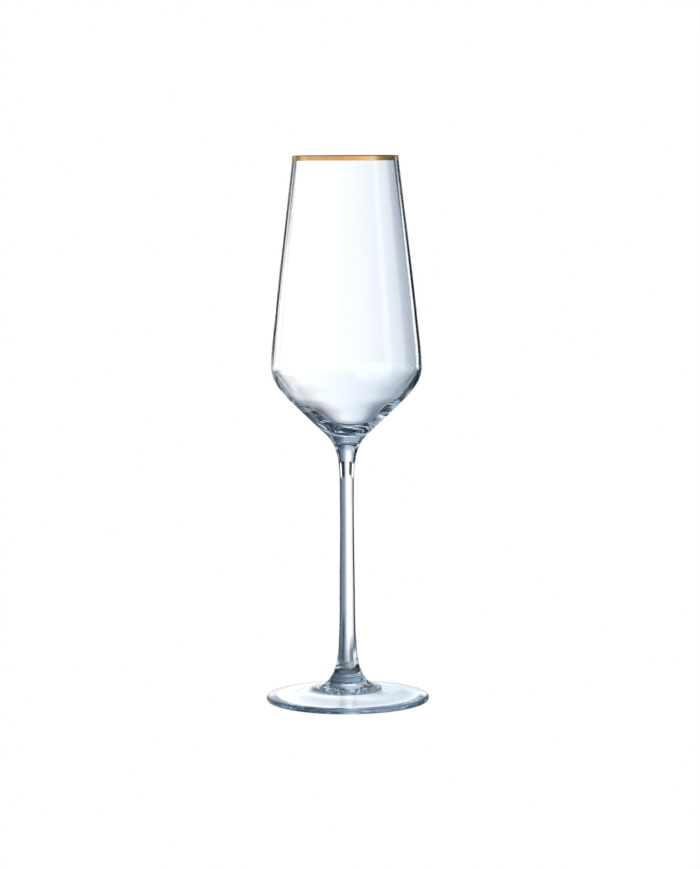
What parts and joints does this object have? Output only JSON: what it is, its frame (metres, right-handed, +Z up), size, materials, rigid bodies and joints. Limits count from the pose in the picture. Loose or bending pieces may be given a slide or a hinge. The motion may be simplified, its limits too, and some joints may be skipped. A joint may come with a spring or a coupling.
{
  "type": "champagne flute",
  "caption": "Clear stemmed champagne flute with a tapered bowl, a pointed shoulder, a slim stem, a round foot and a thin gold rim.",
  "frame": {"origin": "centre of the plane that the foot stands on", "axes": "+Z up along the flute's axis, through the stem to the open bowl; X and Y are alike, because the flute is round"},
  "size_m": [0.0694, 0.0694, 0.232],
  "materials": {
    "clear_glass": "fire-polished clear glass",
    "gold": "brushed-on bright gold, fired on the lip"
  },
  "bodies": {
    "root": {"bowl": "clear_glass", "stem": "clear_glass", "foot": "clear_glass", "rim_band": "gold"}
  },
  "joints": []
}
